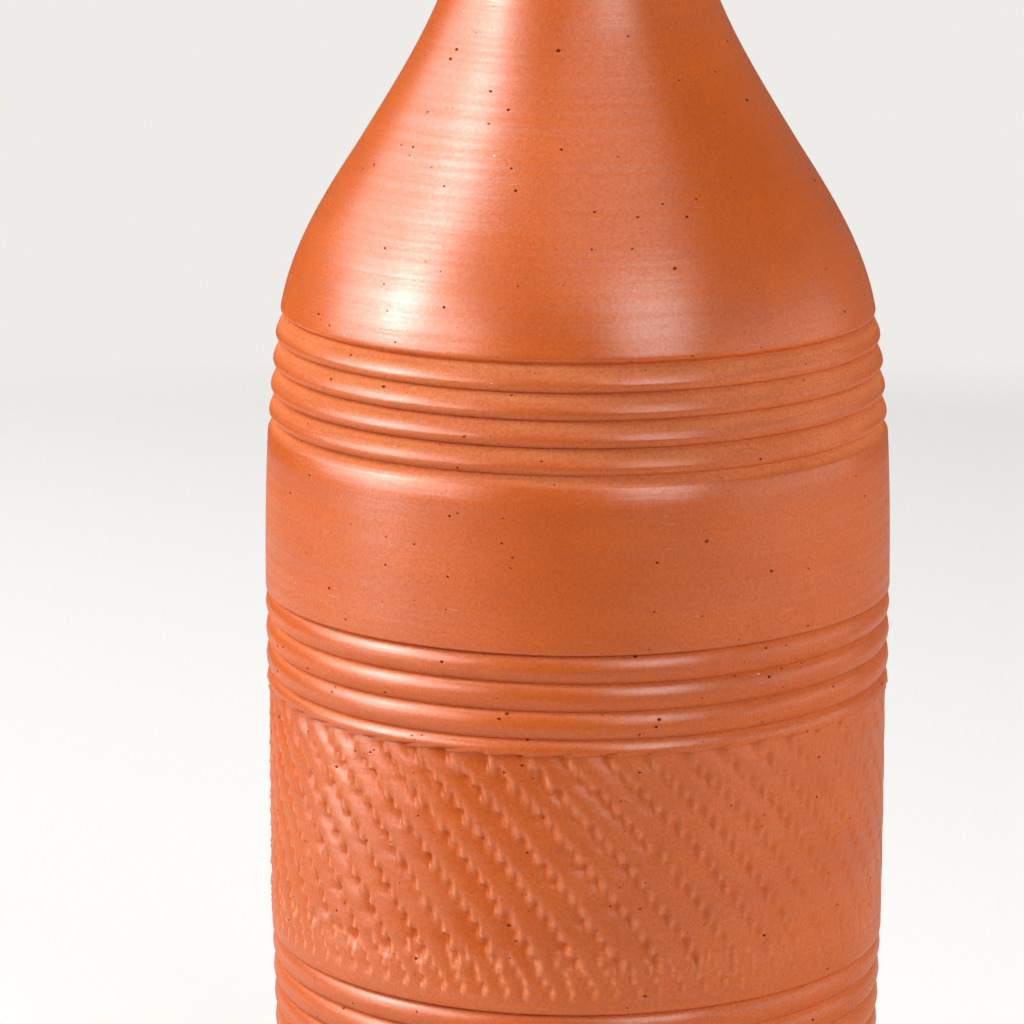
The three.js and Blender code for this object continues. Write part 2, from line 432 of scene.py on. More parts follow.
@dataclass(frozen=True)
class ChatterPass:
    """One pass of a springing blade, which leaves rows of short cuts as the bottle turns."""

    first_row: float
    last_row: float
    rows: int
    crowding: float
    cuts_per_turn: int
    depth: float
    cut_length: float
    end_wall: float
    half_height: float
    top_lean: float
    bottom_lean: float
    slant: float
    curl: float
    start: float
    seed: int
    radius: float = 47.0
    tip: float = 1.35
    lip_width: float = 0.32
    unevenness: float = 0.3
    swing: float = 0.42
    deepest_turn: float = -1.2
    merging: float = 6.0
    end_scatter: float = 0.18
    row_scatter: float = 0.1
    lip_middle: float = -0.5
    lip_spread: float = 0.65
    lip_fade: float = 1.2

    def row_height(self, row: int) -> float:
        """Height of the middle of a row of cuts, counted from the top."""
        fall = (row / (self.rows - 1)) ** self.crowding
        return self.first_row - (self.first_row - self.last_row) * fall

    def drift(self, height: float | np.ndarray) -> float | np.ndarray:
        """How far the first cut of a row has moved round the bottle.

        Args:
            height: Height on the bottle.

        Returns:
            The distance from the front to the cut's end, growing to the right.
        """
        fall = self.first_row - height
        change = (self.bottom_lean - self.top_lean) / (2 * (self.first_row - self.last_row))
        return self.start + fall * (self.top_lean + change * fall)

    def cut(self, turn: np.ndarray, height: np.ndarray) -> tuple[np.ndarray, np.ndarray]:
        """Works out the cuts at places round the band.

        In each row the blade sinks along a ramp and springs out at a steep wall, which leaves a small
        lip. The rows are taller than the steps between them, so each is partly cut away by the next.

        Args:
            turn: Angle of each place from the front, growing to the right.
            height: Height of each place.

        Returns:
            The depth of the deepest cut at each place in millimetres, and the share of the lip there.
        """
        chance = np.random.default_rng(self.seed)
        pitch = FULL_TURN * self.radius / self.cuts_per_turn
        along = turn * self.radius
        bite = 1 - self.swing + self.swing * np.cos(turn - self.deepest_turn)
        depth = np.zeros_like(along)
        lip = np.zeros_like(along)
        for row in range(self.rows):
            age = row / (self.rows - 1)
            ends = chance.normal(0, self.end_scatter, self.cuts_per_turn)
            depths = self.depth * (1 + self.unevenness * chance.uniform(-1, 1, self.cuts_per_turn))
            middle = self.row_height(row) + chance.normal(0, self.row_scatter)
            up = (height - middle) / self.half_height
            near = (up < 1) & (up > -self.tip)
            up = up[near]
            slip = self.drift(middle) - self.drift(height[near])
            tip = np.clip(-up / self.tip, 0, 1)
            closing = np.where(up > 0, 1 - up**4, 1 - tip**2)
            standing = np.exp(-(((up - self.lip_middle) / self.lip_spread) ** 2))
            place = along[near] - self.drift(middle)
            place += self.slant * (1 - 2 * age) * up + self.curl * tip**2
            for neighbour in (0, 1):
                cut = np.floor(place / pitch) + neighbour
                index = cut.astype(int) % self.cuts_per_turn
                past_end = place - cut * pitch - ends[index]
                ramp = np.clip(1 + (past_end + slip) / self.cut_length, 0, 1) ** 2
                wall = 1 - np.sin(QUARTER_TURN * np.clip(past_end / self.end_wall, 0, 1))
                shape = np.minimum(ramp, wall) * closing
                depth[near] += (bite[near] * depths[index] * shape) ** self.merging
                edge = np.exp(-(((past_end - self.end_wall) / self.lip_width) ** 2))
                lip[near] = np.maximum(lip[near], bite[near] ** 2 * edge * standing)
        depth = depth ** (1 / self.merging)
        return depth, lip * np.clip(self.lip_fade - depth / self.depth, 0, 1)


@dataclass(frozen=True)
class ChatterBand:
    """The chattered band: a long pass of the blade, and a short one where it settles at the bottom."""

    top: float = 100.4
    bottom: float = 62.3
    setback: float = 0.4
    lip: float = 0.22
    polish: float = 0.9
    mesh_row: float = 0.74
    long_pass: ChatterPass = ChatterPass(
        first_row=99.6,
        last_row=69.6,
        rows=18,
        crowding=1.2,
        cuts_per_turn=50,
        depth=0.9,
        cut_length=4.6,
        end_wall=1.0,
        half_height=1.35,
        top_lean=1.06,
        bottom_lean=0.64,
        slant=0.2,
        curl=0.25,
        start=-1.95,
        seed=11,
    )
    settling: ChatterPass = ChatterPass(
        first_row=69.8,
        last_row=65.6,
        rows=4,
        crowding=1.0,
        cuts_per_turn=91,
        depth=0.5,
        cut_length=2.4,
        end_wall=0.7,
        half_height=0.95,
        top_lean=0.6,
        bottom_lean=0.5,
        slant=0.1,
        curl=0.3,
        start=0.0,
        seed=5,
    )

    def inset(self, height: float) -> float:
        """How far the band is pared back from the plain wall at a height, most at its top."""
        return self.setback * (height - self.bottom) / (self.top - self.bottom)

    def cut(self, turn: np.ndarray, height: np.ndarray) -> tuple[np.ndarray, np.ndarray]:
        """Lays the two passes over each other at places round the band.

        Args:
            turn: Angle of each place from the front, growing to the right.
            height: Height of each place.

        Returns:
            The depth of the deeper pass at each place, and the share of a lip there.
        """
        long_depth, long_lip = self.long_pass.cut(turn, height)
        short_depth, short_lip = self.settling.cut(turn, height)
        return np.maximum(long_depth, short_depth), np.maximum(long_lip, short_lip)


@dataclass
class BottleBody(TurnedPiece):
    """The thrown bottle: foot, wall with its bands, shoulder, neck and rolled lip, and its hollow."""

    name: str = "thrown_bottle"
    node: str = "bottle_body"
    body: Body = Body.BOTTLE
    slot: Slot = Slot.CLAY
    columns: int = 88
    crease: float = 55.0
    chatter_cuts: int = 12

    foot_radius: float = 44.4
    foot_hollow: float = 0.8
    foot_ring: float = 6.0
    foot_step: float = 2.0
    foot_mark: float = 4.4
    foot_mark_depth: float = 0.08
    foot_edge: float = 0.6
    heel_rounding: float = 3.5
    belly_radius: float = 47.0
    belly_height: float = 106.74
    upper_band_radius: float = 44.7
    shoulder_setback: float = 0.25
    shoulder_lean: float = -0.16
    shoulder_reach: float = 10.8
    cone_radius: float = 32.45
    cone_height: float = 182.0
    cone_lean: float = -0.625
    cone_reach_down: float = 5.0
    cone_reach_up: float = 13.9
    neck_radius: float = 16.0
    neck_height: float = 226.0
    neck_reach: float = 18.6
    lip_radius: float = 18.6
    lip_height: float = 237.0
    rim_height: float = 244.0
    bore_radius: float = 11.0
    mouth_rounding: float = 1.0
    wall: float = 5.5
    floor: float = 7.0
    floor_fillet: float = 14.0
    finger_ring: float = 12.0
    finger_depth: float = 0.35
    hollow_power: float = 1.3
    steady_top: float = 40.0
    steady_bottom: float = 20.0
    oval_sway: float = 0.06
    oval_start: float = 0.7
    lobed_sway: float = 0.04
    lobe_climb: float = 30.0
    tilt: float = 0.07
    tilt_climb: float = 17.0
    ripple: float = 0.05
    ripple_climb: float = 5.0
    lower_wall_row: float = 3.4
    upper_wall_row: float = 3.0
    inner_row: float = 3.6
    floor_row: float = 4.0
    ledge: float = 0.15
    row_gap: float = 0.1
    shoulder_gap: float = 0.2
    cut_below: float = 0.1
    cut_above: float = 0.6
    level_slack: float = 0.01
    mouth_inside: float = 0.5

    lower_band: BeadBand = BeadBand(61.6, 4.1, BeadShape.COVED, upper_edge=0.6, lower_edge=0.8)
    chatter: ChatterBand = ChatterBand()
    middle_band: BeadBand = BeadBand(114.98, 4.12, BeadShape.COVED, upper_edge=0.6, lower_edge=0.8)
    upper_band: BeadBand = BeadBand(156.38, 3.9, BeadShape.ROLLED, upper_edge=1.2, lower_edge=1.8)

    @property
    def shoulder_height(self) -> float:
        """Height at which the shoulder starts, at the groove above the upper band."""
        return self.upper_band.top

    def wall_radius(self, height: float) -> float:
        """Radius of the plain wall, widest at the belly.

        Args:
            height: Height on the bottle.

        Returns:
            The radius, without the bands.
        """
        if height < self.belly_height:
            below = (self.belly_height - height) / self.belly_height
            return self.belly_radius - (self.belly_radius - self.foot_radius) * below**2
        above = (height - self.belly_height) / (self.shoulder_height - self.belly_height)
        return self.belly_radius - (self.belly_radius - self.upper_band_radius) * above**3

    def inset(self, height: float) -> float:
        """How far the bands are cut in from the plain wall.

        Args:
            height: Height on the bottle.

        Returns:
            The distance in millimetres, 0 on the plain wall.
        """
        if self.chatter.bottom <= height < self.chatter.top:
            return self.chatter.inset(height)
        return sum(band.inset(height) for band in (self.lower_band, self.middle_band, self.upper_band))

    def polish(self, height: float) -> float:
        """How far the outside is rubbed smooth.

        Args:
            height: Height on the bottle.

        Returns:
            The polish there, 1 on the plain wall.
        """
        if self.chatter.bottom <= height < self.chatter.top:
            return self.chatter.polish
        return min(band.polish(height) for band in (self.lower_band, self.middle_band, self.upper_band))

    def shoulder(self, foot: float, cone: float, neck: float, steps: int) -> list[Point]:
        """The shoulder from its foot up to the neck.

        Args:
            foot: Radius at its foot.
            cone: Radius where it turns into the cone.
            neck: Radius where it ends in the neck.
            steps: Number of straight steps in each of its two stretches.

        Returns:
            The points, from the bottom up.
        """
        low = self.shoulder_height
        high = self.cone_height
        bulge = curve(
            Point(foot, low),
            Point(foot + self.shoulder_lean * self.shoulder_reach, low + self.shoulder_reach),
            Point(cone - self.cone_lean * self.cone_reach_down, high - self.cone_reach_down),
            Point(cone, high),
            steps,
        )
        sweep = curve(
            Point(cone, high),
            Point(cone + self.cone_lean * self.cone_reach_up, high + self.cone_reach_up),
            Point(neck, self.neck_height - self.neck_reach),
            Point(neck, self.neck_height),
            steps,
        )
        return bulge + sweep[1:]

    def underside(self) -> list[Point]:
        """The hollowed underside with its turning marks, the foot ring and the rounded heel.

        Returns:
            The points, from the axis out to the wall.
        """
        flat = self.wall_radius(self.heel_rounding) - self.heel_rounding
        hollow = flat - self.foot_ring
        marks = []
        for radius in spaced(0, hollow - self.foot_step, self.foot_mark / 4):
            swell = self.foot_mark_depth * math.cos(FULL_TURN * radius / self.foot_mark)
            marks.append(Point(radius, self.foot_hollow + swell))
        edge = [Point(hollow - self.foot_edge, self.foot_hollow / 3), Point(hollow + self.foot_edge, 0)]
        heel = arc(Point(flat, self.heel_rounding), self.heel_rounding, -QUARTER_TURN, 0, steps=8)
        return marks + edge + heel

    def rows(self) -> list[float]:
        """Heights of the outline's points up the wall, above the heel and below the shoulder.

        Returns:
            The heights, from the bottom up.
        """
        lower, chatter, middle, upper = self.lower_band, self.chatter, self.middle_band, self.upper_band
        edge = chatter.top - self.ledge
        rows = spaced(self.heel_rounding, lower.start, self.lower_wall_row)[1:-1]
        rows += lower.rows()
        rows += spaced(chatter.bottom, edge, chatter.mesh_row)
        rows += [chatter.top]
        rows += [row for row in middle.rows() if row > chatter.top + self.row_gap]
        rows += spaced(middle.end, upper.start, self.upper_wall_row)[1:-1]
        return rows + [row for row in upper.rows() if row <= upper.top]

    def outside(self) -> list[Point]:
        """The wall with its bands and the shoulder.

        Returns:
            The points, from the heel up to the neck.
        """
        wall = [Point(self.wall_radius(row) - self.inset(row), row) for row in self.rows()]
        shoulder = self.shoulder(
            self.upper_band_radius - self.shoulder_setback, self.cone_radius, self.neck_radius, steps=22
        )
        edge = self.upper_band.end
        heights = [point.height for point in shoulder]
        radii = [point.radius for point in shoulder]
        eased = [
            Point(float(np.interp(row, heights, radii)) - self.upper_band.inset(row), row)
            for row in spaced(self.upper_band.top, edge, self.upper_band.upper_edge / 5)[1:]
        ]
        return wall + eased + [point for point in shoulder if point.height > edge + self.shoulder_gap]

    def lip(self) -> list[Point]:
        """The neck's top, the rolled lip, the flat of the rim and the mouth's rounding.

        Returns:
            The points, from the neck over the rim into the mouth.
        """
        roll = (self.rim_height - self.lip_height) / 2
        middle = self.lip_radius - roll
        meeting = math.acos((self.neck_radius - middle) / roll)
        rows = spaced(self.neck_height, self.lip_height, self.floor_row)[1:-1]
        neck = [Point(self.neck_radius, row) for row in rows]
        rolled = arc(Point(middle, self.lip_height + roll), roll, -meeting, QUARTER_TURN, steps=16)
        mouth = arc(
            Point(self.bore_radius + self.mouth_rounding, self.rim_height - self.mouth_rounding),
            self.mouth_rounding,
            QUARTER_TURN,
            HALF_TURN,
            steps=5,
        )
        return neck + rolled + mouth

    def inside(self) -> list[Point]:
        """The hollow that holds the water.

        Returns:
            The points, from the mouth down to the middle of the floor.
        """
        corner = self.floor + self.floor_fillet
        shoulder = self.shoulder(
            self.upper_band_radius - self.wall, self.cone_radius - self.wall, self.bore_radius, steps=9
        )
        wall = [
            Point(self.wall_radius(row) - self.wall, row)
            for row in spaced(self.shoulder_height, corner, self.inner_row)[1:-1]
        ]
        middle = self.wall_radius(corner) - self.wall - self.floor_fillet
        fillet = arc(Point(middle, corner), self.floor_fillet, 0, -QUARTER_TURN, steps=8)
        floor = [Point(radius, self.floor) for radius in spaced(middle, 0, self.floor_row)[1:]]
        return shoulder[::-1] + wall + fillet + floor

    def outline(self) -> list[Point]:
        """The whole section, from the middle of the underside round to the middle of the floor."""
        return self.underside() + self.outside() + self.lip() + self.inside()

    def chattered(self, height: np.ndarray) -> np.ndarray:
        """Which heights lie in the chattered band, its edges included."""
        above = height > self.chatter.bottom - self.cut_below
        return above & (height < self.chatter.top + self.cut_above)

    def split_chatter(self, piece: Object) -> None:
        """Divides the band round the bottle, so that it has places enough for the cuts.

        Args:
            piece: The turned piece, selected and active.
        """
        points = read_points(piece)
        ends = np.empty(2 * len(piece.data.edges), dtype=np.int32)
        piece.data.edges.foreach_get("vertices", ends)
        first, second = points[ends[0::2]], points[ends[1::2]]
        level = np.abs(first[:, 2] - second[:, 2]) < self.level_slack
        banded = self.chattered(first[:, 2])
        outer = np.hypot(first[:, 0], first[:, 1]) > self.wall_radius(self.chatter.top) - self.wall / 2
        bpy.ops.object.mode_set(mode="EDIT")
        bpy.ops.mesh.select_mode(type="EDGE")
        bpy.ops.mesh.select_all(action="DESELECT")
        bpy.ops.object.mode_set(mode="OBJECT")
        piece.data.edges.foreach_set("select", level & banded & outer)
        bpy.ops.object.mode_set(mode="EDIT")
        bpy.ops.mesh.subdivide(number_cuts=self.chatter_cuts)
        bpy.ops.mesh.select_mode(type="VERT")
        bpy.ops.object.mode_set(mode="OBJECT")

    def work_by_hand(self, piece: Object) -> None:
        """Cuts the chatter, lets the bands wander as on a turned pot, and marks what is rubbed smooth.

        Args:
            piece: The turned piece, selected and active.
        """
        points = read_points(piece)
        radius = np.hypot(points[:, 0], points[:, 1])
        turn = np.arctan2(points[:, 0], -points[:, 1])
        height = points[:, 2]

        outside = self.outside()
        rows = [point.height for point in outside]
        walls = [point.radius for point in outside]
        surface = np.interp(height, rows, walls)
        outer = (radius > surface - self.wall / 2) & (height > self.heel_rounding)
        outer &= height < self.neck_height

        banded = outer & self.chattered(height)
        cuts = np.zeros_like(radius)
        lips = np.zeros_like(radius)
        cuts[banded], lips[banded] = self.chatter.cut(turn[banded], height[banded])
        radius = np.where(banded, surface - cuts + self.chatter.lip * lips, radius)

        inner = (radius < surface - self.wall / 2) & (height > self.floor + self.floor_fillet)
        inner &= height < self.cone_height
        spiral = np.sin(FULL_TURN * height / self.finger_ring + turn)
        radius = np.where(inner, radius + self.finger_depth * spiral, radius)

        polish = np.interp(height, rows, [self.polish(row) for row in rows])
        mouth = (height >= self.neck_height) & (radius > self.bore_radius + self.mouth_inside)
        write_values(piece, "polish", np.where(outer | mouth, polish, 0))
        # The lip share also drives a painted highlight in the clay finish.
        write_values(piece, "lip", lips)
        # The hollow share also drives painted shade in the clay finish.
        write_values(piece, "hollow", (cuts / self.chatter.long_pass.depth) ** self.hollow_power)

        hold = np.clip((self.neck_height - height) / self.steady_top, 0, 1)
        hold *= np.clip(height / self.steady_bottom, 0, 1)
        oval = self.oval_sway * np.cos(2 * turn + self.oval_start)
        lobes = self.lobed_sway * np.sin(3 * turn + height / self.lobe_climb)
        radius = radius + hold * (oval + lobes)
        tilt = self.tilt * np.sin(turn + height / self.tilt_climb)
        ripple = self.ripple * np.sin(4 * turn + height / self.ripple_climb)
        height = height + np.where(outer, hold * (tilt + ripple), 0)

        write_points(piece, np.column_stack((radius * np.sin(turn), -radius * np.cos(turn), height)))

    def work(self, piece: Object) -> None:
        """Chatters the turned bottle and works it by hand."""
        self.split_chatter(piece)
        self.work_by_hand(piece)


@dataclass
class Stopper(TurnedPiece):
    """The clay stopper: a grooved, hollowed plug, a flange that rests on the rim, and a knob."""

    seat: float
    upper_ring: float
    lower_ring: float

    name: str = "turned_stopper"
    node: str = "stopper"
    body: Body = Body.STOPPER
    slot: Slot = Slot.CLAY
    columns: int = 96
    crease: float = 50.0
    flange_radius: float = 18.0
    flange_height: float = 4.6
    flange_line: float = 0.35
    line_inset: float = 0.9
    line_half: float = 0.5
    line_polish: float = 0.2
    line_lift: float = 0.05
    line_near: float = 0.3
    line_tall: float = 0.6
    polish_rise: float = 1.5
    waist_radius: float = 7.6
    waist_flare: float = 2.6
    waist_foot: float = 0.4
    waist_reach: float = 2.8
    knob_start: float = 9.0
    knob_radius: float = 11.0
    knob_height: float = 9.0
    knob_flare: float = 2.2
    knob_reach: float = 3.0
    knob_dimple: float = 0.5
    dimple_radius: float = 2.2
    crown_steps: int = 18
    plug_radius: float = 9.5
    plug_tail: float = 8.0
    plug_chamfer: float = 1.0
    hollow_radius: float = 5.0
    hollow_depth: float = 15.0
    groove_depth: float = 1.2
    groove_half: float = 1.35
    edge_rounding: float = 0.35

    @property
    def line_radius(self) -> float:
        """Radius of the line turned into the flange's top."""
        return self.flange_radius - self.flange_height / 2 - self.line_inset

    def plug(self) -> list[Point]:
        """The plug: its hollow, its chamfered end and the grooves for the seal rings.

        Returns:
            The points, from the top of the hollow round to the flange's underside.
        """
        end = self.lower_ring - self.plug_tail
        corners = [
            Point(0, end + self.hollow_depth),
            Point(self.hollow_radius, end + self.hollow_depth),
            Point(self.hollow_radius, end),
            Point(self.plug_radius - self.plug_chamfer, end),
            Point(self.plug_radius, end + self.plug_chamfer),
        ]
        for ring in (self.lower_ring, self.upper_ring):
            bottom = self.plug_radius - self.groove_depth
            corners += [
                Point(self.plug_radius, ring - self.groove_half),
                Point(bottom, ring - self.groove_half),
                Point(bottom, ring + self.groove_half),
                Point(self.plug_radius, ring + self.groove_half),
            ]
        edge = self.flange_radius - self.flange_height / 2
        corners += [Point(self.plug_radius, self.seat), Point(edge, self.seat)]
        return softened(corners, self.edge_rounding)[:-1]

    def flange(self) -> list[Point]:
        """The flange's half-round edge, and the line turned into its top before the waist.

        Returns:
            The points, from the underside up to the waist.
        """
        edge = self.flange_height / 2
        middle = Point(self.flange_radius - edge, self.seat + edge)
        rim = arc(middle, edge, -QUARTER_TURN, QUARTER_TURN, steps=16)
        top = self.seat + self.flange_height
        line, half = self.line_radius, self.line_half
        cut = [Point(line + half, top), Point(line, top - self.flange_line)]
        return rim + cut + [Point(line - half, top + self.line_lift)]

    def knob(self) -> list[Point]:
        """The waist, the round of the knob and its dimpled top.

        Returns:
            The points, from the waist up to the axis.
        """
        top = self.seat + self.flange_height
        start = self.seat + self.knob_start
        middle = start + self.knob_height / 2
        waist = curve(
            Point(self.line_radius - self.line_half, top + self.line_lift),
            Point(self.waist_radius + self.waist_flare, top + self.waist_foot),
            Point(self.waist_radius, start - self.waist_reach),
            Point(self.waist_radius, start),
            steps=12,
        )
        side = curve(
            Point(self.waist_radius, start),
            Point(self.waist_radius + self.knob_flare, start),
            Point(self.knob_radius, middle - self.knob_reach),
            Point(self.knob_radius, middle),
            steps=10,
        )
        crown = []
        for step in range(1, self.crown_steps + 1):
            angle = QUARTER_TURN * step / self.crown_steps
            radius = self.knob_radius * math.cos(angle)
            dimple = self.knob_dimple * math.exp(-((radius / self.dimple_radius) ** 2))
            height = middle + self.knob_height / 2 * math.sin(angle) - dimple
            crown.append(Point(max(radius, 0), height))
        crown[-1] = Point(0, crown[-1].height)
        return waist[1:] + side[1:] + crown

    def outline(self) -> list[Point]:
        """The whole section, from the top of the hollow round to the top of the knob."""
        return self.plug() + self.flange() + self.knob()

    def work(self, piece: Object) -> None:
        """Marks what is rubbed smooth: all above the seat, apart from the turned line.

        Args:
            piece: The turned piece, selected and active.
        """
        points = read_points(piece)
        height = points[:, 2]
        radius = np.hypot(points[:, 0], points[:, 1])
        polish = np.clip((height - self.seat) / self.polish_rise, 0, 1)
        top = self.seat + self.flange_height
        lined = np.abs(radius - self.line_radius) < self.line_near
        lined &= np.abs(height - top) < self.line_tall
        write_values(piece, "polish", np.where(lined, self.line_polish, polish))


@dataclass
class SealRing(TurnedPiece):
    """A round silicone ring with the fine parting line of its mould."""

    name: str
    node: str
    middle: float

    body: Body = Body.SEALS
    slot: Slot = Slot.SEAL
    columns: int = 96
    mean_radius: float = 9.65
    section_radius: float = 1.05
    section_sides: int = 28
    parting_line: float = 0.06

    def outline(self) -> list[Point]:
        """The ring's round section, standing proud along its parting line.

        Returns:
            The points, closed on themselves.
        """
        points = []
        for side in range(self.section_sides + 1):
            angle = FULL_TURN * side / self.section_sides
            proud = self.parting_line if side % self.section_sides == 0 else 0
            reach = self.section_radius + proud
            points.append(
                Point(self.mean_radius + reach * math.cos(angle), self.middle + reach * math.sin(angle))
            )
        return points


class NodeSheet:
    """A node tree being wired, with short ways to add the nodes that the finishes use."""

    def __init__(self, tree: NodeTree) -> None:
        """Starts an empty sheet on a tree."""
        self.tree = tree
        tree.nodes.clear()

    @classmethod
    def material(cls, name: str) -> tuple[Material, "NodeSheet", Node]:
        """Opens a new material.

        Args:
            name: Name of the material.

        Returns:
            The material, the sheet to wire and the shader, joined to the output.
        """
        material = bpy.data.materials.new(name)
        material.use_nodes = True
        sheet = cls(material.node_tree)
        shader = sheet.add("ShaderNodeBsdfPrincipled")
        sheet.add("ShaderNodeOutputMaterial", {"Surface": shader.outputs[0]})
        return material, sheet, shader

    def wire(self, node: Node, inputs: Inputs) -> None:
        """Joins inputs of a node to other sockets, or gives them plain values.

        Args:
            node: The node to wire.
            inputs: A socket or a value for each input, by name or number.
        """
        for name, value in inputs.items():
            if isinstance(value, Socket):
                self.tree.links.new(value, node.inputs[name])
            else:
                node.inputs[name].default_value = value

    def add(self, kind: str, inputs: Inputs | None = None, **settings: object) -> Node:
        """Adds a node, sets its options and wires its inputs.

        Args:
            kind: Blender's name for the kind of node.
            inputs: A socket or a value for each input, by name or number.
            settings: The node's options, by name.

        Returns:
            The new node.
        """
        node = self.tree.nodes.new(kind)
        for name, value in settings.items():
            setattr(node, name, value)
        self.wire(node, inputs or {})
        return node

    def math(self, operation: str, first: Socket | float, second: Socket | float) -> Socket:
        """Result of a sum on two values."""
        return self.add("ShaderNodeMath", {0: first, 1: second}, operation=operation).outputs[0]

    def times(self, first: Socket | float, second: Socket | float) -> Socket:
        """Product of two values."""
        return self.math("MULTIPLY", first, second)

    def vector(self, operation: str, inputs: Inputs, output: int | str = 0) -> Socket:
        """Result of a sum on vectors."""
        return self.add("ShaderNodeVectorMath", inputs, operation=operation).outputs[output]

    def spread(
        self, value: Socket, low: Socket | float, high: Socket | float, start: float = 0, end: float = 1
    ) -> Socket:
        """A value carried from one range to another, held at the ends."""
        inputs = dict(enumerate((value, low, high, start, end)))
        return self.add("ShaderNodeMapRange", inputs, interpolation_type="SMOOTHSTEP").outputs[0]

    def blend(self, share: Socket | float, below: Socket | Colour, above: Socket | Colour) -> Socket:
        """Two colours laid over each other."""
        return self.add("ShaderNodeMix", {0: share, 6: below, 7: above}, data_type="RGBA").outputs[2]

    def group(self, tree: NodeTree, **values: float) -> Socket:
        """First output of a shared effect with its values set."""
        return self.add("ShaderNodeGroup", values, node_tree=tree).outputs[0]

    def place(self) -> Socket:
        """Places on the object."""
        return self.add("ShaderNodeTexCoord").outputs["Object"]


class Effects:
    """The surface effects that more than one finish uses, each a node group with one output."""

    tear_scale: float = 6.0
    tear: float = 0.22
    size_power: float = 3.0
    least_size: float = 0.35
    soft_edge: float = 0.5

    def __init__(self) -> None:
        """Makes the groups."""
        self.streaks = self.make_streaks()
        self.grain = self.make_grain()
        self.flecks = self.make_flecks()

    @staticmethod
    def start(name: str, *inputs: str) -> tuple[NodeSheet, list[Socket]]:
        """Opens a new group.

        Args:
            name: Name of the group.
            inputs: Names of its number inputs.

        Returns:
            The sheet to wire and the sockets that give the inputs.
        """
        tree = bpy.data.node_groups.new(name, "ShaderNodeTree")
        for label in inputs:
            tree.interface.new_socket(label, in_out="INPUT", socket_type="NodeSocketFloat")
        tree.interface.new_socket("Value", in_out="OUTPUT", socket_type="NodeSocketFloat")
        sheet = NodeSheet(tree)
        given = sheet.add("NodeGroupInput").outputs
        return sheet, [given[label] for label in inputs]

    @staticmethod
    def end(sheet: NodeSheet, value: Socket) -> NodeTree:
        """Closes a group with the value that it gives."""
        sheet.add("NodeGroupOutput", {0: value})
        return sheet.tree

    @staticmethod
    def stretched(sheet: NodeSheet, across: Socket, up: Socket) -> Socket:
        """Places on the object, stretched by one factor across and another one up."""
        factors = sheet.add("ShaderNodeCombineXYZ", {0: across, 1: across, 2: up})
        return sheet.vector("MULTIPLY", {0: sheet.place(), 1: factors.outputs[0]})

    def make_streaks(self) -> NodeTree:
        """Marks drawn out along the turning, finer up the piece than round it.

        Returns:
            The group, with how fine they are each way.
        """
        sheet, (across, up) = self.start("wheel_streaks", "Across", "Up")
        place = self.stretched(sheet, across, up)
        noise = sheet.add("ShaderNodeTexNoise", {"Vector": place, "Scale": 1, "Detail": 4})
        return self.end(sheet, sheet.spread(noise.outputs[0], *NOISE_RANGE))

    def make_grain(self) -> NodeTree:
        """The even grain of the fired body.

        Returns:
            The group, with how fine the grain is.
        """
        sheet, (scale,) = self.start("fine_grain", "Scale")
        noise = sheet.add("ShaderNodeTexNoise", {"Vector": sheet.place(), "Scale": scale, "Detail": 3})
        return self.end(sheet, sheet.spread(noise.outputs[0], *NOISE_RANGE))

    def make_flecks(self) -> NodeTree:
        """Scattered specks of uneven sizes.

        Returns:
            The group, with how close the cells are each way, a speck's size and the share of cells
            that hold one.
        """
        names = ("Across", "Up", "Size", "Share")
        sheet, (across, up, size, share) = self.start("scattered_flecks", *names)
        place = self.stretched(sheet, across, up)
        ragged = sheet.add("ShaderNodeTexNoise", {"Vector": place, "Scale": self.tear_scale}).outputs
        torn = sheet.vector("SCALE", {0: ragged["Color"], "Scale": self.tear})
        moved = sheet.vector("ADD", {0: place, 1: torn})
        cells = sheet.add("ShaderNodeTexVoronoi", {"Vector": moved, "Scale": 1}).outputs
        chance = sheet.add("ShaderNodeSeparateColor", {0: cells["Color"]}).outputs
        uneven = sheet.math("ADD", sheet.math("POWER", chance[1], self.size_power), self.least_size)
        reach = sheet.times(size, uneven)
        full = sheet.times(reach, self.soft_edge)
        inside = sheet.math("SUBTRACT", 1, sheet.spread(cells["Distance"], full, reach))
        return self.end(sheet, sheet.times(inside, sheet.math("LESS_THAN", chance[0], share)))


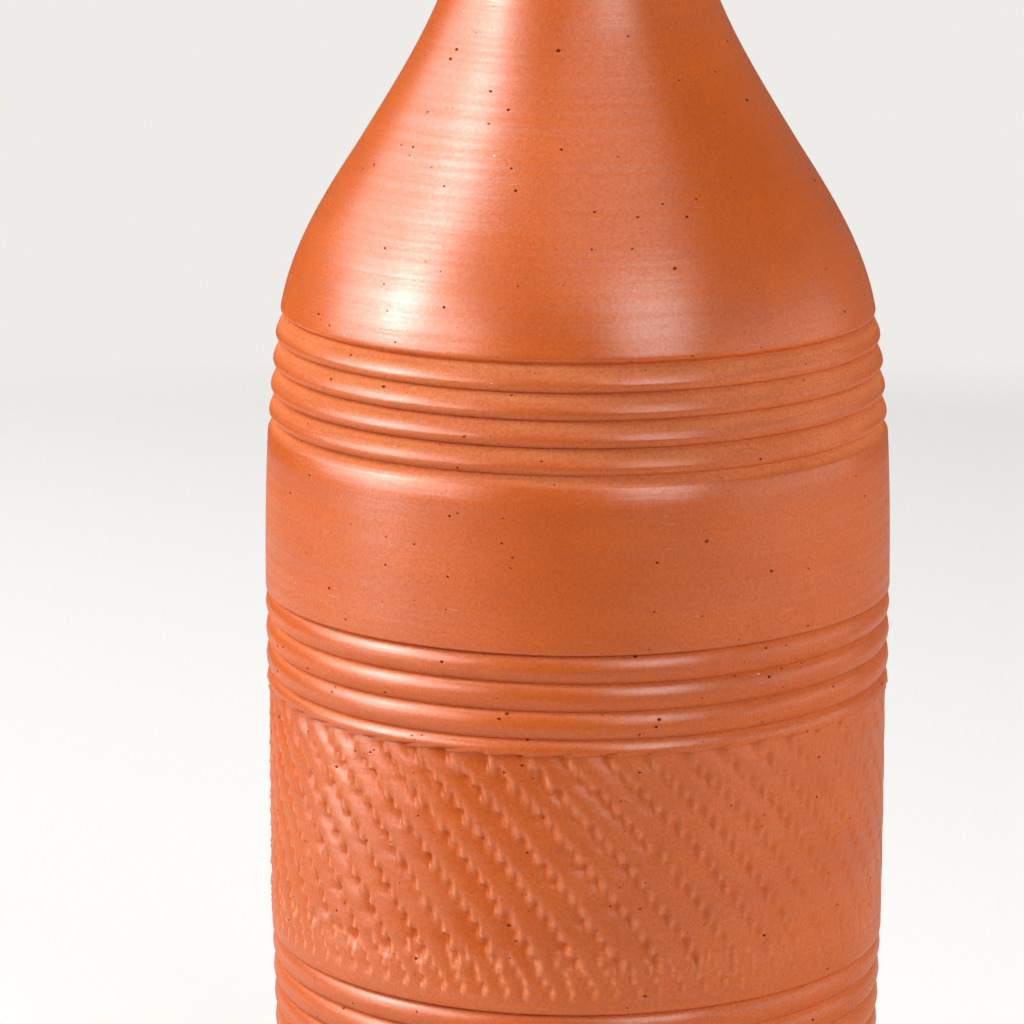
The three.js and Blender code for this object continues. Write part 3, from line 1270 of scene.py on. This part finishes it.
@dataclass(frozen=True)
class ClayFinish:
    """Unglazed fired clay, rubbed to a satin sheen where the polish attribute says so."""

    name: str
    rubbed: Colour
    raw: Colour
    # Darker colour of the random tone and grain, also laid in the chatter cuts as painted shade.
    deep_tone_and_shade: Colour
    # Paler colour of scratches, also laid on the cut lips as a painted highlight.
    wear_and_highlight: Colour
    dark_fleck: Colour
    pale_fleck: Colour
    rubbed_roughness: float = 0.6
    raw_roughness: float = 0.9
    sheen: float = 0.0
    skin_roughness: float = 0.31
    skin_index: float = 1.75
    streaked_skin: float = 0.72
    grained_skin: float = 0.8
    hollow_skin: float = 0.4
    tone_strength: float = 0.16
    grain_strength: float = 0.36
    # Darkening of the clay by cut depth: painted shade in the recesses of the chatter.
    hollow_shade_strength: float = 0.14
    # Strength of the paler colour on the cut lips: partly rubbed wear, partly a painted highlight.
    lip_highlight_strength: float = 0.85
    scratch_strength: float = 0.22
    dust_strength: float = 0.5
    dark_strength: float = 0.9
    pale_strength: float = 0.8
    tooth_height: float = 0.4
    bare_tooth: float = 1.2
    raw_drag: float = 1.2
    rubbed_drag: float = 0.2
    drag_range: tuple[float, float] = (0.1, 0.6)
    scratch_depth: float = 0.6
    relief: float = 0.35
    relief_depth: float = 0.12

    def material(self, effects: Effects) -> Material:
        """Wires the finish.

        Args:
            effects: The shared surface effects.

        Returns:
            The new material.
        """
        material, sheet, shader = NodeSheet.material(self.name)
        polish, hollow, lip = (
            sheet.add("ShaderNodeAttribute", attribute_name=name).outputs["Fac"]
            for name in ("polish", "hollow", "lip")
        )
        fine = sheet.group(effects.streaks, Across=14, Up=1500)
        broad = sheet.group(effects.streaks, Across=9, Up=110)
        grain = sheet.group(effects.grain, Scale=2300)
        tooth = sheet.group(effects.grain, Scale=4200)
        mottle = sheet.group(effects.grain, Scale=90)
        dark = sheet.group(effects.flecks, Across=400, Up=600, Size=0.125, Share=0.95)
        dust = sheet.group(effects.flecks, Across=900, Up=1350, Size=0.16, Share=0.4)
        pale = sheet.group(effects.flecks, Across=420, Up=630, Size=0.08, Share=0.12)
        scratch = sheet.group(effects.flecks, Across=230, Up=2400, Size=0.22, Share=0.09)
        scratch = sheet.times(scratch, polish)

        clay = sheet.blend(polish, self.raw, self.rubbed)
        tone = sheet.math("ADD", sheet.math("ADD", broad, fine), mottle)
        layers = (
            (tone, self.tone_strength, self.deep_tone_and_shade),
            (grain, self.grain_strength, self.deep_tone_and_shade),
            (hollow, self.hollow_shade_strength, self.deep_tone_and_shade),
            # Darker clay deeper in the chatter cuts: painted shade in the recesses.
            (lip, self.lip_highlight_strength, self.wear_and_highlight),
            # Paler clay on the lips of the chatter cuts: partly rubbed wear, partly a painted
            # highlight.
            (scratch, self.scratch_strength, self.wear_and_highlight),
            (dust, self.dust_strength, self.dark_fleck),
            (dark, self.dark_strength, self.dark_fleck),
            (pale, self.pale_strength, self.pale_fleck),
        )
        for mask, strength, colour in layers:
            clay = sheet.blend(sheet.times(mask, strength), clay, colour)

        skin = sheet.times(polish, sheet.spread(fine, 0, 1, self.streaked_skin, 1))
        skin = sheet.times(skin, sheet.spread(grain, 0, 1, 1, self.grained_skin))
        skin = sheet.times(skin, sheet.spread(hollow, 0, 0.8, 1, self.hollow_skin))

        roughened = sheet.math("SUBTRACT", self.bare_tooth, polish)
        height = sheet.times(tooth, sheet.times(roughened, self.tooth_height))
        drag = sheet.group(effects.streaks, Across=180, Up=2600)
        left = sheet.spread(polish, *self.drag_range, self.raw_drag, self.rubbed_drag)
        dragged = sheet.times(drag, left)
        height = sheet.math("ADD", height, dragged)
        height = sheet.math("SUBTRACT", height, dark)
        height = sheet.math("SUBTRACT", height, sheet.times(scratch, self.scratch_depth))
        relief = {"Strength": self.relief, "Distance": self.relief_depth * MM, "Height": height}
        bump = sheet.add("ShaderNodeBump", relief).outputs[0]
        look = {
            "Base Color": clay,
            "Roughness": sheet.spread(polish, 0, 1, self.raw_roughness, self.rubbed_roughness),
            "Specular IOR Level": self.sheen,
            "Coat Weight": sheet.math("SUBTRACT", skin, dark),
            "Coat Roughness": self.skin_roughness,
            "Coat IOR": self.skin_index,
            "Normal": bump,
            "Coat Normal": bump,
        }
        sheet.wire(shader, look)
        return material


@dataclass(frozen=True)
class SiliconeFinish:
    """Soft off-white silicone, a little cloudy, with clay dust on it."""

    name: str
    body: Colour
    dust: Colour
    roughness: float = 0.5
    cloud_roughness: float = 0.65
    cloudiness: float = 0.12
    dustiness: float = 0.5

    def material(self, effects: Effects) -> Material:
        """Wires the finish.

        Args:
            effects: The shared surface effects.

        Returns:
            The new material.
        """
        material, sheet, shader = NodeSheet.material(self.name)
        cloud = sheet.group(effects.grain, Scale=260)
        specks = sheet.group(effects.flecks, Across=700, Up=1050, Size=0.09, Share=0.25)
        clouded = sheet.times(cloud, self.cloudiness)
        tint = sheet.math("ADD", clouded, sheet.times(specks, self.dustiness))
        rough = sheet.spread(cloud, 0, 1, self.roughness, self.cloud_roughness)
        sheet.wire(shader, {"Base Color": sheet.blend(tint, self.body, self.dust), "Roughness": rough})
        return material


class Reach(Enum):
    """What a lamp lights: the whole look, only the sheen of a surface, or only its matt colour."""

    ALL = "all"
    SHEEN = "sheen"
    MATT = "matt"


@dataclass(frozen=True)
class Lamp:
    """A soft rectangular lamp that faces the bottle."""

    name: str
    place: tuple[float, float, float]
    width: float
    height: float
    power: float
    reach: Reach = Reach.ALL
    target: tuple[float, float, float] = (0.0, 0.0, 0.15)

    def build(self) -> None:
        """Adds the lamp, hidden from the camera itself."""
        bpy.ops.object.select_all(action="DESELECT")
        bpy.ops.object.light_add(type="AREA", location=self.place)
        lamp = bpy.context.object
        lamp.name = self.name
        lamp.rotation_euler = (Vector(self.target) - lamp.location).to_track_quat("-Z", "Y").to_euler()
        lamp.data.shape = "RECTANGLE"
        lamp.data.size = self.width
        lamp.data.size_y = self.height
        lamp.data.energy = self.power
        lamp.data.color = CARD_WHITE if self.reach is Reach.SHEEN else WINDOW_WHITE
        lamp.visible_camera = False
        lamp.visible_diffuse = self.reach is not Reach.SHEEN
        lamp.visible_glossy = self.reach is not Reach.MATT


@dataclass(frozen=True)
class Studio:
    """A pale table before a pale wall, lit by a window on the left and a softer one on the right."""

    table: Colour
    wall: Colour
    room: float = 0.07
    daylight: float = 0.2
    table_radius: float = 0.746
    table_fade: float = 0.06
    table_sides: int = 128
    table_glow: float = 0.34
    table_roughness: float = 0.8
    table_sheen: float = 0.2
    glow: Colour = (1.0, 1.0, 1.0, 1.0)
    shade: Colour = (0.02, 0.02, 0.02, 1.0)
    shade_place: tuple[float, float, float] = (0.0, -0.6, 0.0)
    shade_radius: float = 0.42
    camera_distance: float = 0.7
    camera_height: float = 0.28237
    camera_pitch: float = 12.624
    camera_yaw: float = 0.8046
    lens: float = 167.71
    sensor: float = 36.0
    near_clip: float = 0.01
    open_lean: float = 0.4
    open_range: tuple[float, float] = (-0.2, 0.8)
    low_range: tuple[float, float] = (0.2, 0.6)
    lamps: tuple[Lamp, ...] = (
        Lamp("left_window", (-1.03, -0.29, 0.585), 0.27, 0.34, 6.7),
        Lamp("left_card", (-1.03, -0.33, 0.44), 1.4, 0.5, 12.8, Reach.SHEEN),
        Lamp("top_card", (-0.55, 0.0, 1.1), 1.0, 1.2, 7.0, Reach.SHEEN),
        Lamp("front_card", (0.3, -0.72, 1.05), 1.1, 0.7, 3.6, Reach.SHEEN),
        Lamp("left_far_window", (-1.05, 0.35, 0.8), 0.9, 0.6, 6.0),
        Lamp("left_sill", (-1.03, -0.29, 0.12), 0.4, 0.4, 1.5),
        Lamp("left_skylight", (-0.95, -0.2, 1.2), 0.4, 0.6, 9.4),
        Lamp("right_window", (0.62, -1.1, 0.67), 0.6, 0.8, 7.8),
        Lamp("right_wall", (1.2, -0.05, 0.22), 1.4, 0.44, 1.6),
        Lamp("right_fill", (1.2, -0.05, 0.3), 1.4, 0.6, 6.2, Reach.MATT),
    )

    def add_camera(self) -> None:
        """Puts the camera where the photograph was taken from."""
        bpy.ops.object.camera_add(
            location=(0, -self.camera_distance, self.camera_height),
            rotation=(QUARTER_TURN - math.radians(self.camera_pitch), 0, math.radians(self.camera_yaw)),
        )
        camera = bpy.context.object
        camera.name = "photograph_camera"
        camera.data.lens = self.lens
        camera.data.sensor_width = self.sensor
        camera.data.clip_start = self.near_clip
        bpy.context.scene.camera = camera

    def table_material(self) -> Material:
        """Matt pale table that fades out at its round edge and can't be seen from below.

        Returns:
            The new material.
        """
        material, sheet, shader = NodeSheet.material("pale_table")
        place = sheet.place()
        path = sheet.add("ShaderNodeLightPath").outputs
        near = sheet.vector("DISTANCE", {0: place, 1: self.shade_place}, "Value")
        lit = sheet.spread(near, self.shade_radius / 3, self.shade_radius)
        shade = sheet.times(sheet.math("SUBTRACT", 1, lit), path["Is Glossy Ray"])
        inner = self.table_radius - self.table_fade
        outer = self.table_radius + self.table_fade
        away = sheet.spread(sheet.vector("LENGTH", {0: place}, "Value"), inner, outer)
        behind = sheet.add("ShaderNodeNewGeometry").outputs["Backfacing"]
        look = {
            "Base Color": sheet.blend(shade, self.table, self.shade),
            "Roughness": self.table_roughness,
            "Specular IOR Level": self.table_sheen,
            "Emission Color": self.glow,
            "Emission Strength": sheet.times(path["Is Camera Ray"], self.table_glow),
            "Alpha": sheet.times(sheet.math("SUBTRACT", 1, away), sheet.math("SUBTRACT", 1, behind)),
        }
        sheet.wire(shader, look)
        return material

    def add_table(self) -> None:
        """Lays the round table top under the bottle."""
        bpy.ops.object.select_all(action="DESELECT")
        bpy.ops.mesh.primitive_circle_add(
            vertices=self.table_sides, radius=self.table_radius + 2 * self.table_fade, fill_type="NGON"
        )
        table = bpy.context.object
        table.name = "table_top"
        table.data.materials.append(self.table_material())

    def add_world(self) -> None:
        """Sets the pale wall that the camera sees, and the softer light of the room."""
        world = bpy.data.worlds.new("studio")
        world.use_nodes = True
        bpy.context.scene.world = world
        sheet = NodeSheet(world.node_tree)
        path = sheet.add("ShaderNodeLightPath").outputs
        towards = sheet.add("ShaderNodeTexCoord").outputs["Generated"]
        direction = sheet.add("ShaderNodeSeparateXYZ", {0: towards}).outputs
        right = sheet.math("ADD", direction[0], sheet.times(direction[1], self.open_lean))
        low = sheet.math("SUBTRACT", 1, sheet.spread(direction[2], *self.low_range))
        open_side = sheet.times(sheet.spread(right, *self.open_range), low)
        dim = (self.room, self.room, self.room, 1.0)
        bright = (self.daylight, self.daylight, self.daylight, 1.0)
        seen = sheet.math("MAXIMUM", path["Is Camera Ray"], path["Is Transmission Ray"])
        colour = sheet.blend(seen, sheet.blend(open_side, dim, bright), self.wall)
        background = sheet.add("ShaderNodeBackground", {"Color": colour}).outputs[0]
        sheet.add("ShaderNodeOutputWorld", {"Surface": background})

    def build(self) -> None:
        """Sets up the camera, the table, the wall and the lamps."""
        bpy.context.scene.view_settings.view_transform = "Standard"
        self.add_camera()
        self.add_table()
        self.add_world()
        for lamp in self.lamps:
            lamp.build()


def middle_height(node: str) -> float:
    """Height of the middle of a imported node, in millimetres."""
    low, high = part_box(node)
    return (low[2] + high[2]) / 2 / MM


def main() -> None:
    """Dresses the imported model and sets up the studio."""
    logging.basicConfig(level=logging.INFO, format="%(name)s: %(message)s")
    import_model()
    effects = Effects()
    clay = ClayFinish(
        name="burnished_terracotta",
        rubbed=srgb(214, 100, 26),
        raw=srgb(226, 136, 90),
        # Darker colour for random tone and grain, and for painted shade in the chatter cuts.
        deep_tone_and_shade=srgb(166, 64, 14),
        # Paler colour for real scratches, and for a painted highlight on the chatter lips.
        wear_and_highlight=srgb(250, 160, 112),
        dark_fleck=srgb(62, 26, 16),
        pale_fleck=srgb(236, 196, 164),
    ).material(effects)
    silicone = SiliconeFinish(
        name="seal_silicone", body=srgb(222, 217, 207), dust=srgb(206, 150, 116)
    ).material(effects)

    Studio(table=srgb(218, 217, 215), wall=srgb(238, 236, 232)).build()
    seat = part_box("bottle_body")[1][2] / MM + SEAT_GAP
    pieces = (
        BottleBody().build(clay),
        Stopper(seat, middle_height("upper_seal_ring"), middle_height("lower_seal_ring")).build(clay),
        SealRing("upper_ring", "upper_seal_ring", middle_height("upper_seal_ring")).build(silicone),
        SealRing("lower_ring", "lower_seal_ring", middle_height("lower_seal_ring")).build(silicone),
    )
    for piece in pieces:
        LOG.info("%s: %d faces", piece.name, len(piece.data.polygons))


if __name__ == "__main__":
    main()
